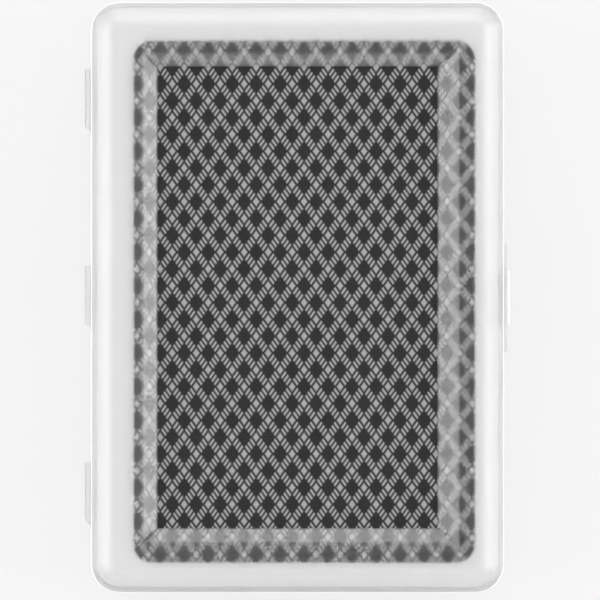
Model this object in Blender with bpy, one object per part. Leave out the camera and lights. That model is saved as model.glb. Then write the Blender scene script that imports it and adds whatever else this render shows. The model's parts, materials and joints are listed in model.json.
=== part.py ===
"""A hinged playing card case with its deck.

A deep tray and a lid, both thin shells of frosted polypropylene, are joined along one long side by three
living-hinge straps and held shut on the other by a sprung thumb latch. The middle of the lid is sunk until it
almost touches the top card. The tray holds 54 cards: four suits of thirteen and two jokers.

Metres, +Z up. The case lies on the underside of its tray with the hinge at -X and the latch at +X. The origin
is the centre of the underside, on the surface that the case rests on.
"""

import math

import bmesh
import bpy
from mathutils import Vector

MM = 0.001

# Deck
CARD_WIDTH = 57.0 * MM
CARD_LENGTH = 87.0 * MM
CARD_THICKNESS = 0.28 * MM
CARD_CORNER_RADIUS = 3.2 * MM
CARD_AIR_GAP = 0.009 * MM
DECK_SIDE_PLAY = 2.134 * MM
DECK_END_PLAY = 1.934 * MM
DECK_SLIDE_SHARE_X = 0.506
DECK_SLIDE_SHARE_Y = -0.362
DECK_FLOOR_GAP = 0.05 * MM
RANKS = (
    "ace", "two", "three", "four", "five", "six", "seven",
    "eight", "nine", "ten", "jack", "queen", "king",
)
SUITS = ("hearts", "clubs", "diamonds", "spades")

# Shells
CORNER_RADIUS = 4.8 * MM
SHARP_CORNER_RADIUS = 0.4 * MM
WALL = 1.3 * MM
FLOOR_THICKNESS = 1.2 * MM
LID_SKIN = 1.0 * MM
BEVEL_WIDTH = 3.3 * MM
BEVEL_HEIGHT = 2.6 * MM
BEVEL_EASE = 0.9 * MM
SOFT_EDGE = 0.25 * MM
RIM_GAP = 0.1 * MM

# Lap joint of the two rims
LAP_HEIGHT = 1.2 * MM
LAP_CLEARANCE = 0.1 * MM
LAP_SHARE = 0.5

# Sunk panel of the lid and the mitred slope round it
PANEL_SIDE_MARGIN = 5.15 * MM
PANEL_END_MARGIN = 5.0 * MM
PANEL_DEPTH = 2.0 * MM
PANEL_CLEARANCE = 0.144 * MM
SLOPE_WIDTH = 4.3 * MM
CREASE_DEPTH = 0.5 * MM
CREASE_HINGE_SIDE = 2.2 * MM
CREASE_LATCH_SIDE = 3.7 * MM
CREASE_FRONT = 2.3 * MM
CREASE_BACK = 2.2 * MM
PANEL_EASE = 0.5 * MM

# Living hinge
STRAP_PLACES = ("front", "middle", "back")
STRAP_LENGTH = 10.7 * MM
STRAP_REACH = 1.1 * MM
STRAP_THICKNESS = 0.42 * MM
STRAP_WALL_GAP = 0.05 * MM
STRAP_END_TAPER = 0.4 * MM
HINGE_OFFSET = 1.0 * MM

# Latch
PAD_WIDTH = 18.8 * MM
PAD_REACH = 0.75 * MM
PAD_BEVEL = 0.2 * MM
PAD_BITE = 0.5 * MM
PAD_RIM_SETBACK = 0.15 * MM
LID_PAD_HEIGHT = 3.4 * MM
TRAY_PAD_HEIGHT = 5.4 * MM
TONGUE_WIDTH = 8.8 * MM
TONGUE_REACH = 1.1 * MM
TONGUE_THICKNESS = 0.66 * MM
TONGUE_SIDE_GAP = 0.25 * MM
TONGUE_TOP_GAP = 0.2 * MM
TONGUE_WALL_GAP = 0.1 * MM
TONGUE_ROOT_RISE = 2.9 * MM
TONGUE_ROOT_HEIGHT = 1.0 * MM
TONGUE_DROP = 5.8 * MM
TONGUE_PIVOT_INSET = 0.1 * MM
TONGUE_TOP_BEVEL = 0.35 * MM
TONGUE_TIP_EASE = 0.15 * MM
CATCH_DROP = 2.5 * MM
CATCH_HEIGHT = 0.85 * MM
CATCH_EDGE = 0.15 * MM
CATCH_REACH = 0.36 * MM
CATCH_WIDTH = 7.6 * MM
HOOK_PLAY = 0.1 * MM
HOOK_LEAD_SHARE = 2

# Mesh fineness
CORNER_STEPS = 12
EASE_STEPS = 3
MOST_EASE_SHARE = 0.49
CARD_CORNER_STEPS = 4
STRAP_STEPS = 10
SMOOTH_ANGLE = math.radians(28)


def inner_bevel(thickness):
    """Where the inside of a bevelled edge meets the inside of the floor and of the wall, as inset and height.

    The outside runs from (BEVEL_WIDTH, 0) to (0, BEVEL_HEIGHT) and the inside is parallel to it.
    """
    face = math.hypot(BEVEL_WIDTH, BEVEL_HEIGHT)
    floor_inset = BEVEL_WIDTH + thickness * (face - BEVEL_WIDTH) / BEVEL_HEIGHT
    wall_height = BEVEL_HEIGHT + (thickness * face - WALL * BEVEL_HEIGHT) / BEVEL_WIDTH
    return floor_inset, wall_height


# Sizes and places that follow from the ones above
STRAP_COUNT = len(STRAP_PLACES)
CARD_COUNT = len(RANKS) * len(SUITS) + 2
CARD_PITCH = CARD_THICKNESS + CARD_AIR_GAP
DECK_BOTTOM = FLOOR_THICKNESS + DECK_FLOOR_GAP
DECK_TOP = DECK_BOTTOM + CARD_COUNT * CARD_PITCH
CASE_HEIGHT = DECK_TOP + PANEL_CLEARANCE + LID_SKIN + PANEL_DEPTH
PARTING_SHARE = 0.6
PARTING_HEIGHT = PARTING_SHARE * CASE_HEIGHT
TRAY_RIM = PARTING_HEIGHT - RIM_GAP / 2
LID_RIM = PARTING_HEIGHT + RIM_GAP / 2
FLOOR_INSET = inner_bevel(FLOOR_THICKNESS)[0]
SIDE_MARGIN = DECK_SIDE_PLAY + FLOOR_INSET
END_MARGIN = DECK_END_PLAY + FLOOR_INSET
CASE_WIDTH = CARD_WIDTH + 2 * SIDE_MARGIN
CASE_LENGTH = CARD_LENGTH + 2 * END_MARGIN
LATCH_FACE = CASE_WIDTH / 2
HINGE_FACE = -CASE_WIDTH / 2
PANEL_INSET_X = SIDE_MARGIN + PANEL_SIDE_MARGIN
PANEL_INSET_Y = END_MARGIN + PANEL_END_MARGIN
STRAP_PITCH = CASE_LENGTH / STRAP_COUNT


def clear_scene():
    """Removes every object of the open scene."""
    for obj in list(bpy.data.objects):
        bpy.data.objects.remove(obj, do_unlink=True)


def make_material(name, colour, roughness, transmission=0.0, metallic=0.0):
    """A plain Principled material."""
    material = bpy.data.materials.new(name)
    material.use_nodes = True
    shader = material.node_tree.nodes["Principled BSDF"]
    shader.inputs["Base Color"].default_value = (*colour, 1.0)
    shader.inputs["Roughness"].default_value = roughness
    shader.inputs["Metallic"].default_value = metallic
    shader.inputs["Transmission Weight"].default_value = transmission
    return material


def object_from(mesh, name, material=None, parent=None):
    """Puts a mesh in the scene, under its parent with its world place kept."""
    obj = bpy.data.objects.new(name, mesh)
    bpy.context.scene.collection.objects.link(obj)
    if material is not None and not mesh.materials:
        mesh.materials.append(material)
    if parent is not None:
        obj.parent = parent
        obj.matrix_parent_inverse = parent.matrix_world.inverted()
    return obj


def mesh_from(build, name, smooth=False):
    """A mesh filled by build(bm), with its faces pointing out."""
    mesh = bpy.data.meshes.new(name)
    bm = bmesh.new()
    build(bm)
    bmesh.ops.recalc_face_normals(bm, faces=bm.faces)
    bm.to_mesh(mesh)
    bm.free()
    if smooth:
        mesh.shade_smooth()
        mesh.set_sharp_from_angle(angle=SMOOTH_ANGLE)
    return mesh


def axis_empty(name, place, parent=None):
    """An empty on a joint's axis, which its moving pieces hang from."""
    empty = bpy.data.objects.new(name, None)
    empty.empty_display_size = STRAP_LENGTH
    empty.location = place
    bpy.context.scene.collection.objects.link(empty)
    bpy.context.view_layer.update()
    if parent is not None:
        empty.parent = parent
        empty.matrix_parent_inverse = parent.matrix_world.inverted()
        bpy.context.view_layer.update()
    return empty


def rounded_outline(half_x, half_y, radius, steps, centre=(0, 0)):
    """The corners of a rounded rectangle, counter-clockwise from +X."""
    points = []
    for quarter, (side_x, side_y) in enumerate(((1, 1), (-1, 1), (-1, -1), (1, -1))):
        corner_x = centre[0] + side_x * (half_x - radius)
        corner_y = centre[1] + side_y * (half_y - radius)
        for step in range(steps + 1):
            angle = (quarter + step / steps) * math.pi / 2
            points.append((corner_x + radius * math.cos(angle), corner_y + radius * math.sin(angle)))
    return points


def ring(inset, height):
    """A level of a shell, the same distance in from the case's outline on all four sides."""
    return Vector((inset, inset, inset, inset, height))


def sided_ring(hinge_side, latch_side, front, back, height):
    """A level of a shell with its own distance in from each side of the case's outline."""
    return Vector((hinge_side, latch_side, front, back, height))


def ring_gap(first, second):
    """How far apart two levels lie, by their mean inset and their height."""
    across = sum(first[:4]) / 4 - sum(second[:4]) / 4
    return math.hypot(across, first[4] - second[4])


def eased(levels):
    """The levels of a shell with each corner that has an ease length turned into a short curve."""
    rings = [levels[0][0]]
    for (before, _), (corner, ease), (after, _) in zip(levels, levels[1:], levels[2:]):
        if ease == 0:
            rings.append(corner)
            continue
        start = corner.lerp(before, min(ease / ring_gap(corner, before), MOST_EASE_SHARE))
        end = corner.lerp(after, min(ease / ring_gap(corner, after), MOST_EASE_SHARE))
        for step in range(EASE_STEPS + 1):
            share = step / EASE_STEPS
            rings.append(start.lerp(corner, share).lerp(corner.lerp(end, share), share))
    rings.append(levels[-1][0])
    return rings


def loft_shell(bm, levels):
    """Skins a shell over its levels, from the cap of the first to the cap of the last."""
    loops = []
    for level in eased(levels):
        hinge_side, latch_side, front, back, height = level
        half_x = (CASE_WIDTH - hinge_side - latch_side) / 2
        half_y = (CASE_LENGTH - front - back) / 2
        centre = ((hinge_side - latch_side) / 2, (front - back) / 2)
        radius = max(CORNER_RADIUS - sum(level[:4]) / 4, SHARP_CORNER_RADIUS)
        outline = rounded_outline(half_x, half_y, radius, CORNER_STEPS, centre)
        loops.append([bm.verts.new((x, y, height)) for x, y in outline])
    for inner, outer in zip(loops, loops[1:]):
        for index, vertex in enumerate(inner):
            following = (index + 1) % len(inner)
            bm.faces.new((vertex, outer[index], outer[following], inner[following]))
    bm.faces.new(loops[0])
    bm.faces.new(reversed(loops[-1]))


def tray_levels():
    """The tray from its inner floor, up the wall to the lip, over the rim and down to its underside."""
    floor_inset, wall_height = inner_bevel(FLOOR_THICKNESS)
    lip_inset = LAP_SHARE * WALL + LAP_CLEARANCE
    lip_top = TRAY_RIM + LAP_HEIGHT
    return [
        (ring(floor_inset, FLOOR_THICKNESS), 0),
        (ring(WALL, wall_height), BEVEL_EASE),
        (ring(WALL, lip_top), 0),
        (ring(lip_inset, lip_top), SOFT_EDGE / 2),
        (ring(lip_inset, TRAY_RIM), 0),
        (ring(0, TRAY_RIM), SOFT_EDGE),
        (ring(0, BEVEL_HEIGHT), BEVEL_EASE),
        (ring(BEVEL_WIDTH, 0), BEVEL_EASE),
        (ring(BEVEL_WIDTH + BEVEL_EASE, 0), 0),
    ]


def lid_levels():
    """The lid from its sunk panel, out over the ring and the bevel to the rim and back under the skin."""
    roof_inset, wall_drop = inner_bevel(LID_SKIN)
    slope_x = PANEL_INSET_X - SLOPE_WIDTH
    slope_y = PANEL_INSET_Y - SLOPE_WIDTH
    rebate_inset = LAP_SHARE * WALL
    rebate_top = LID_RIM + LAP_HEIGHT + LAP_CLEARANCE
    panel = (PANEL_INSET_X, PANEL_INSET_X, PANEL_INSET_Y, PANEL_INSET_Y)
    crease = (
        PANEL_INSET_X - CREASE_HINGE_SIDE,
        PANEL_INSET_X - CREASE_LATCH_SIDE,
        PANEL_INSET_Y - CREASE_FRONT,
        PANEL_INSET_Y - CREASE_BACK,
    )
    slope = (slope_x, slope_x, slope_y, slope_y)
    flat = tuple(inset + PANEL_EASE for inset in panel)
    top = CASE_HEIGHT
    under = CASE_HEIGHT - LID_SKIN
    return [
        (sided_ring(*flat, top - PANEL_DEPTH), 0),
        (sided_ring(*panel, top - PANEL_DEPTH), SOFT_EDGE),
        (sided_ring(*crease, top - CREASE_DEPTH), SOFT_EDGE),
        (sided_ring(*slope, top), PANEL_EASE),
        (ring(BEVEL_WIDTH, top), BEVEL_EASE),
        (ring(0, top - BEVEL_HEIGHT), BEVEL_EASE),
        (ring(0, LID_RIM), SOFT_EDGE),
        (ring(rebate_inset, LID_RIM), 0),
        (ring(rebate_inset, rebate_top), 0),
        (ring(WALL, rebate_top), 0),
        (ring(WALL, top - wall_drop), BEVEL_EASE),
        (ring(roof_inset, under), 0),
        (sided_ring(*slope, under), PANEL_EASE),
        (sided_ring(*crease, under - CREASE_DEPTH), SOFT_EDGE),
        (sided_ring(*panel, under - PANEL_DEPTH), SOFT_EDGE),
        (sided_ring(*flat, under - PANEL_DEPTH), 0),
    ]


def build_prism(bm, outline, axis, start, end):
    """Extrudes an outline from start to end along X, for (y, z) points, or along Y, for (x, z) points."""
    def place(point, along):
        return (along, *point) if axis == "X" else (point[0], along, point[1])

    first = [bm.verts.new(place(point, start)) for point in outline]
    last = [bm.verts.new(place(point, end)) for point in outline]
    bm.faces.new(first)
    bm.faces.new(last)
    for index in range(len(outline)):
        following = (index + 1) % len(outline)
        bm.faces.new((first[index], first[following], last[following], last[index]))


def rectangle(low_y, high_y, low_z, high_z):
    """The corners of a rectangle in the YZ plane."""
    return [(low_y, low_z), (high_y, low_z), (high_y, high_z), (low_y, high_z)]


def join_to(target, name, outline, axis, start, end, bevel=0.0):
    """Fuses a prism to a shell with a Boolean union."""
    tool = object_from(mesh_from(lambda bm: build_prism(bm, outline, axis, start, end), name), name)
    tool.hide_render = True
    tool.display_type = "WIRE"
    if bevel > 0:
        rounding = tool.modifiers.new("rounded_edges", "BEVEL")
        rounding.width = bevel
        rounding.segments = 2
    union = target.modifiers.new(name, "BOOLEAN")
    union.operation = "UNION"
    union.solver = "EXACT"
    union.object = tool


def make_tray(material):
    """The deep half: floor, bevelled edges, walls, lap lip, two latch guards and the catch between them."""
    mesh = mesh_from(lambda bm: loft_shell(bm, tray_levels()), "base_tray", smooth=True)
    tray = object_from(mesh, "base_tray", material)
    inside = LATCH_FACE - PAD_BITE
    top = TRAY_RIM - PAD_RIM_SETBACK
    near = TONGUE_WIDTH / 2 + TONGUE_SIDE_GAP
    for name, side in (("front_latch_guard", -1), ("back_latch_guard", 1)):
        low, high = sorted((side * near, side * PAD_WIDTH / 2))
        outline = rectangle(low, high, top - TRAY_PAD_HEIGHT, top)
        join_to(tray, name, outline, "X", inside, LATCH_FACE + PAD_REACH, PAD_BEVEL)
    catch_top = PARTING_HEIGHT - CATCH_DROP
    catch_bottom = catch_top - CATCH_HEIGHT
    outline = [
        (inside, catch_bottom),
        (LATCH_FACE + CATCH_REACH, catch_bottom),
        (LATCH_FACE + CATCH_REACH, catch_bottom + CATCH_EDGE),
        (LATCH_FACE, catch_top),
        (inside, catch_top),
    ]
    join_to(tray, "latch_catch", outline, "Y", -CATCH_WIDTH / 2, CATCH_WIDTH / 2)
    return tray


def make_lid(material, hinge):
    """The shallow half, with the pad that frames the root of the latch tongue."""
    mesh = mesh_from(lambda bm: loft_shell(bm, lid_levels()), "lid", smooth=True)
    lid = object_from(mesh, "lid", material, hinge)
    bottom = LID_RIM + PAD_RIM_SETBACK
    top = LID_RIM + LID_PAD_HEIGHT
    near = TONGUE_WIDTH / 2 + TONGUE_SIDE_GAP
    notch_top = PARTING_HEIGHT + TONGUE_ROOT_RISE + TONGUE_TOP_GAP
    outline = [
        (-PAD_WIDTH / 2, bottom),
        (-near, bottom),
        (-near, notch_top),
        (near, notch_top),
        (near, bottom),
        (PAD_WIDTH / 2, bottom),
        (PAD_WIDTH / 2, top),
        (-PAD_WIDTH / 2, top),
    ]
    join_to(lid, "lid_latch_pad", outline, "X", LATCH_FACE - PAD_BITE, LATCH_FACE + PAD_REACH, PAD_BEVEL)
    return lid


def make_tongue(material, pivot):
    """The thumb tab that hangs from the lid and hooks under the catch of the tray."""
    root_top = PARTING_HEIGHT + TONGUE_ROOT_RISE
    root_bottom = root_top - TONGUE_ROOT_HEIGHT
    tip = PARTING_HEIGHT - TONGUE_DROP
    hook_top = PARTING_HEIGHT - CATCH_DROP - CATCH_HEIGHT - HOOK_PLAY
    wall_side = LATCH_FACE + TONGUE_WALL_GAP
    outer = LATCH_FACE + TONGUE_REACH
    inner = outer - TONGUE_THICKNESS
    hook_depth = inner - wall_side
    outline = [
        (wall_side, root_top),
        (wall_side, root_bottom),
        (inner, root_bottom - hook_depth),
        (inner, hook_top),
        (wall_side, hook_top),
        (wall_side, hook_top - CATCH_EDGE),
        (inner, hook_top - CATCH_EDGE - hook_depth * HOOK_LEAD_SHARE),
        (inner + TONGUE_TIP_EASE, tip),
        (outer - TONGUE_TIP_EASE, tip),
        (outer, tip + TONGUE_TIP_EASE),
        (outer, root_top - TONGUE_TOP_BEVEL),
        (outer - TONGUE_TOP_BEVEL, root_top),
    ]
    half = TONGUE_WIDTH / 2
    mesh = mesh_from(lambda bm: build_prism(bm, outline, "Y", -half, half), "latch_tongue")
    return object_from(mesh, "latch_tongue", material, pivot)


def build_strap(bm, middle):
    """A half ring of thin web from the lid's wall, out and round to the tray's, with its ends drawn in."""
    wall_side = HINGE_FACE - STRAP_WALL_GAP
    outer_radius = STRAP_REACH - STRAP_WALL_GAP
    loops = []
    for radius in (outer_radius, outer_radius - STRAP_THICKNESS):
        for side in (-1, 1):
            loop = []
            for step in range(STRAP_STEPS + 1):
                angle = math.pi * (step / STRAP_STEPS - 1 / 2)
                reach = radius * math.cos(angle)
                half = (STRAP_LENGTH - STRAP_END_TAPER * reach / outer_radius) / 2
                place = (wall_side - reach, middle + side * half, PARTING_HEIGHT + radius * math.sin(angle))
                loop.append(bm.verts.new(place))
            loops.append(loop)
    outer_front, outer_back, inner_front, inner_back = loops
    for first, second in (
        (outer_front, outer_back),
        (outer_back, inner_back),
        (inner_back, inner_front),
        (inner_front, outer_front),
    ):
        for step in range(STRAP_STEPS):
            bm.faces.new((first[step], first[step + 1], second[step + 1], second[step]))
    for end in (0, STRAP_STEPS):
        bm.faces.new((outer_front[end], outer_back[end], inner_back[end], inner_front[end]))


def make_straps(material, hinge):
    """The three living-hinge straps, front to back."""
    for index, name in enumerate(STRAP_PLACES):
        middle = (index - (STRAP_COUNT - 1) / 2) * STRAP_PITCH
        full_name = f"{name}_hinge_strap"
        mesh = mesh_from(lambda bm: build_strap(bm, middle), full_name, smooth=True)
        object_from(mesh, full_name, material, hinge)


def build_card(bm):
    """One card, its underside at zero."""
    outline = rounded_outline(CARD_WIDTH / 2, CARD_LENGTH / 2, CARD_CORNER_RADIUS, CARD_CORNER_STEPS)
    under = bm.faces.new([bm.verts.new((x, y, 0)) for x, y in outline])
    lifted = bmesh.ops.extrude_face_region(bm, geom=[under])["geom"]
    corners = [item for item in lifted if isinstance(item, bmesh.types.BMVert)]
    bmesh.ops.translate(bm, verts=corners, vec=(0, 0, CARD_THICKNESS))


def card_names():
    """The deck from the bottom card to the top one, as it lies face down."""
    names = [f"card_{rank}_of_{suit}" for suit in SUITS for rank in RANKS]
    return [*names, "card_red_joker", "card_black_joker"]


def make_deck(stock, printed_back):
    """The cards, face down in one pile that has slid from the middle of the tray."""
    card_mesh = mesh_from(build_card, "card")
    card_mesh.materials.append(stock)
    top_mesh = card_mesh.copy()
    top_mesh.materials[0] = printed_back
    names = card_names()
    slide_x = DECK_SLIDE_SHARE_X * DECK_SIDE_PLAY
    slide_y = DECK_SLIDE_SHARE_Y * DECK_END_PLAY
    for index, name in enumerate(names):
        card = object_from(top_mesh if name == names[-1] else card_mesh, name)
        card.location = (slide_x, slide_y, DECK_BOTTOM + index * CARD_PITCH)


def main():
    clear_scene()
    frosted = make_material("frosted_polypropylene", (0.86, 0.87, 0.87), 0.35, transmission=0.85)
    stock = make_material("card_stock", (0.87, 0.87, 0.85), 0.55)
    printed_back = make_material("printed_card_back", (0.11, 0.11, 0.11), 0.45)
    hinge = axis_empty("lid_hinge_axis", (HINGE_FACE - HINGE_OFFSET, 0, PARTING_HEIGHT))
    pivot_x = LATCH_FACE + TONGUE_REACH - TONGUE_THICKNESS
    pivot_z = PARTING_HEIGHT + TONGUE_ROOT_RISE - TONGUE_PIVOT_INSET
    latch_pivot = axis_empty("latch_tongue_axis", (pivot_x, 0, pivot_z), hinge)
    make_tray(frosted)
    make_lid(frosted, hinge)
    make_straps(frosted, hinge)
    make_tongue(frosted, latch_pivot)
    make_deck(stock, printed_back)
    bpy.context.view_layer.update()


main()
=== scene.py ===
"""A hinged playing card case of frosted polypropylene with a full deck inside, seen from above."""

import json
import logging
import math
import random
from collections.abc import Callable
from dataclasses import dataclass
from enum import Enum

import bmesh
import bpy
from mathutils import Matrix, Vector

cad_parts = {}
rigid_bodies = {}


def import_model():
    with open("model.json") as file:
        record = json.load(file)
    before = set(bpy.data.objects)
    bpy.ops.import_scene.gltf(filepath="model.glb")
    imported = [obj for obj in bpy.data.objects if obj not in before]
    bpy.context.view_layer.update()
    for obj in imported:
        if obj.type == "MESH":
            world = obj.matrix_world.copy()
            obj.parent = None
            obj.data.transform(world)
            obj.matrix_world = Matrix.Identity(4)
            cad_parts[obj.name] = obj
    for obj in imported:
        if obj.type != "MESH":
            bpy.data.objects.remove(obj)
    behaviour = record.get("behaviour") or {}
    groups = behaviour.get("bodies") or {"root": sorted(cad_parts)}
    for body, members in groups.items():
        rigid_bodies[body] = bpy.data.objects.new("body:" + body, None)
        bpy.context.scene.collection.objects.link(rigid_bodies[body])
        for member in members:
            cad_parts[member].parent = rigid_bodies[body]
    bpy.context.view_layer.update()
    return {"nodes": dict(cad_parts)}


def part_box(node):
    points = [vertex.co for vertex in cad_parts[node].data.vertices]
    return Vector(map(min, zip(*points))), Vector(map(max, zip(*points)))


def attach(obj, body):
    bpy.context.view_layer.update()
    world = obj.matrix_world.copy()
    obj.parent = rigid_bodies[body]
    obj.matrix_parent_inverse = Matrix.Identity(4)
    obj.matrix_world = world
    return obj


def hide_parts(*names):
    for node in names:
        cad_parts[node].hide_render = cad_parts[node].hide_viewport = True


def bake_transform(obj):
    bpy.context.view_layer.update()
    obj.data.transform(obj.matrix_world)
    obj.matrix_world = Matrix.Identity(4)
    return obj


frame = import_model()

LOG = logging.getLogger("card_case")
MM = 0.001
SMOOTH_ANGLE = math.radians(32)
# A rounded corner takes up a little less than half of the face on either side of it.
EASE_LIMIT = 0.49

Point = tuple[float, float, float]


class Direction(Enum):
    """The direction in which a drawn profile is drawn out into a bar."""

    ACROSS = (1, 0, 0)
    ALONG = (0, 1, 0)


# Help for meshes


def metres(*values: float) -> Point:
    """Millimetres as metres."""
    return tuple(value * MM for value in values)


def start_mesh(name: str) -> bpy.types.Object:
    """Starts an empty mesh object at the origin and leaves it open in edit mode.

    Args:
        name: The name of the piece.

    Returns:
        The new object, active and alone in the selection.
    """
    bpy.ops.object.select_all(action="DESELECT")
    bpy.ops.mesh.primitive_plane_add(size=MM)
    piece = bpy.context.active_object
    piece.name = name
    piece.data.name = name
    bpy.ops.object.mode_set(mode="EDIT")
    bpy.ops.mesh.delete(type="VERT")
    return piece


def select_faces(piece: bpy.types.Object, chosen: Callable[[bmesh.types.BMFace], bool]) -> None:
    """Selects the faces of a mesh in edit mode that a test picks, and no others.

    Args:
        piece: The object in edit mode.
        chosen: A test of a face.
    """
    bpy.ops.mesh.select_mode(type="FACE")
    mesh = bmesh.from_edit_mesh(piece.data)
    for face in mesh.faces:
        face.select_set(False)
    for face in mesh.faces:
        if chosen(face):
            face.select_set(True)
    bmesh.update_edit_mesh(piece.data)


def draw_bar(outline: list[tuple[float, float]], direction: Direction, start: float, end: float) -> None:
    """Draws a profile by extruding a corner from point to point, and draws it out into a solid bar.

    Args:
        outline: The profile's corners in millimetres, as (y, z) for ACROSS and (x, z) for ALONG.
        direction: The way in which the bar runs.
        start: Where the bar starts along it.
        end: Where it ends.
    """
    if direction is Direction.ACROSS:
        points = [Vector(metres(start, y, z)) for y, z in outline]
    else:
        points = [Vector(metres(x, start, z)) for x, z in outline]
    bpy.ops.mesh.select_mode(type="VERT")
    bpy.ops.mesh.primitive_plane_add(size=MM, location=points[0])
    bpy.ops.mesh.merge(type="CENTER")
    for here, there in zip(points, points[1:]):
        bpy.ops.mesh.extrude_region_move(TRANSFORM_OT_translate={"value": there - here})
    bpy.ops.mesh.select_linked()
    bpy.ops.mesh.edge_face_add()
    run = Vector(direction.value) * (end - start) * MM
    bpy.ops.mesh.extrude_region_move(TRANSFORM_OT_translate={"value": run})


def cut_off(place: Point, away: Point) -> None:
    """Cuts the open mesh with a plane through a place, drops what lies away from it and closes the cut."""
    bpy.ops.mesh.select_all(action="SELECT")
    bpy.ops.mesh.bisect(plane_co=place, plane_no=away, use_fill=True, clear_outer=True)


def make_bar(
    name: str,
    outline: list[tuple[float, float]],
    direction: Direction,
    start: float,
    end: float,
    round_mm: float,
    cuts: tuple[tuple[Point, Point], ...] = (),
) -> bpy.types.Object:
    """Makes a bar with a drawn profile and rounded edges.

    Args:
        name: The name of the piece.
        outline: The profile's corners in millimetres.
        direction: The way in which the bar runs.
        start: Where the bar starts along it.
        end: Where it ends.
        round_mm: The radius of its edges.
        cuts: Planes that cut its ends aslant, as a point and a direction.

    Returns:
        The bar, in object mode.
    """
    piece = start_mesh(name)
    draw_bar(outline, direction, start, end)
    for place, away in cuts:
        cut_off(place, away)
    bpy.ops.mesh.select_all(action="SELECT")
    bpy.ops.mesh.normals_make_consistent(inside=False)
    bpy.ops.object.mode_set(mode="OBJECT")
    if round_mm:
        apply_modifier(piece, "BEVEL", width=round_mm * MM, segments=3, limit_method="ANGLE")
    return piece


def apply_modifier(piece: bpy.types.Object, kind: str, **settings: object) -> None:
    """Adds a modifier with its settings to a piece in object mode and applies it.

    Args:
        piece: The piece.
        kind: The modifier's type.
        settings: The modifier's own settings.
    """
    bpy.ops.object.select_all(action="DESELECT")
    piece.select_set(True)
    bpy.context.view_layer.objects.active = piece
    bpy.ops.object.modifier_add(type=kind)
    modifier = piece.modifiers[-1]
    for setting, value in settings.items():
        setattr(modifier, setting, value)
    bpy.ops.object.modifier_apply(modifier=modifier.name)


def join_solid(piece: bpy.types.Object, solid: bpy.types.Object, operation: str = "UNION") -> None:
    """Fuses a solid to a piece, or cuts it out with DIFFERENCE, and removes the solid."""
    apply_modifier(piece, "BOOLEAN", object=solid, operation=operation, solver="EXACT")
    bpy.data.objects.remove(solid, do_unlink=True)


def finish_mesh(piece: bpy.types.Object, angle: float = SMOOTH_ANGLE) -> None:
    """Turns the faces out, shades the curves smooth and keeps the flats flat.

    Args:
        piece: The piece, in object mode.
        angle: Edges sharper than this stay sharp.
    """
    bpy.ops.object.select_all(action="DESELECT")
    piece.select_set(True)
    bpy.context.view_layer.objects.active = piece
    bpy.ops.object.mode_set(mode="EDIT")
    bpy.ops.mesh.select_all(action="SELECT")
    bpy.ops.mesh.normals_make_consistent(inside=False)
    bpy.ops.object.mode_set(mode="OBJECT")
    bpy.ops.object.shade_smooth_by_angle(angle=angle)
    apply_modifier(piece, "WEIGHTED_NORMAL", mode="FACE_AREA", keep_sharp=True)


def paint(
    piece: bpy.types.Object, finishes: list[bpy.types.Material], zone: Callable[[bpy.types.MeshPolygon], int]
) -> None:
    """Gives each face of a piece its finish.

    Args:
        piece: The piece, in object mode.
        finishes: The materials in the order of their slots.
        zone: Picks the slot of a face.
    """
    piece.data.materials.clear()
    for finish in finishes:
        piece.data.materials.append(finish)
    for face in piece.data.polygons:
        face.material_index = zone(face)


# Help for materials


def linear(code: str) -> tuple[float, float, float, float]:
    """An sRGB colour as linear light.

    Args:
        code: The colour as hex digits, such as "F5F5F5".

    Returns:
        Red, green, blue and 1.
    """
    parts = [int(code[i : i + 2], 16) / 255 for i in (0, 2, 4)]
    light = [p / 12.92 if p <= 0.04045 else ((p + 0.055) / 1.055) ** 2.4 for p in parts]
    return (*light, 1.0)


def add_node(
    tree: bpy.types.NodeTree, kind: str, inputs: dict[str | int, object] | None = None, **settings: object
) -> bpy.types.Node:
    """Adds a node with its settings and links.

    Args:
        tree: The node tree.
        kind: The node's type.
        inputs: Values, sockets or nodes for its inputs, by name or index. A node stands for its first output.
        settings: The node's own settings.

    Returns:
        The new node.
    """
    node = tree.nodes.new(kind)
    for setting, value in settings.items():
        setattr(node, setting, value)
    for key, value in (inputs or {}).items():
        if isinstance(value, bpy.types.Node):
            value = value.outputs[0]
        if isinstance(value, bpy.types.NodeSocket):
            tree.links.new(value, node.inputs[key])
        else:
            node.inputs[key].default_value = value
    return node


def colour_socket(node: bpy.types.Node) -> bpy.types.NodeSocket:
    """The colour output of a Mix node, which has one output for each kind of data."""
    return next(socket for socket in node.outputs if socket.type == "RGBA")


def new_material(name: str) -> tuple[bpy.types.Material, bpy.types.NodeTree, bpy.types.Node]:
    """Starts a material.

    Args:
        name: The material's name.

    Returns:
        The material, its node tree and its Principled shader.
    """
    material = bpy.data.materials.new(name)
    material.use_nodes = True
    tree = material.node_tree
    return material, tree, tree.nodes["Principled BSDF"]


def roughen(
    tree: bpy.types.NodeTree,
    shader: bpy.types.Node,
    texture: bpy.types.NodeSocket,
    spans: dict[str, float],
    depth_mm: float,
) -> None:
    """Lets a texture drive a shader's roughness and its relief.

    Args:
        tree: The material's node tree.
        shader: Its Principled shader.
        texture: The texture's value.
        spans: The limits between which the value becomes roughness.
        depth_mm: The depth of the relief.
    """
    rough = add_node(tree, "ShaderNodeMapRange", {"Value": texture, **spans})
    tree.links.new(rough.outputs[0], shader.inputs["Roughness"])
    bump = add_node(tree, "ShaderNodeBump", {"Height": texture, "Distance": depth_mm * MM, "Strength": 1.0})
    tree.links.new(bump.outputs["Normal"], shader.inputs["Normal"])


# Finishes


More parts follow.
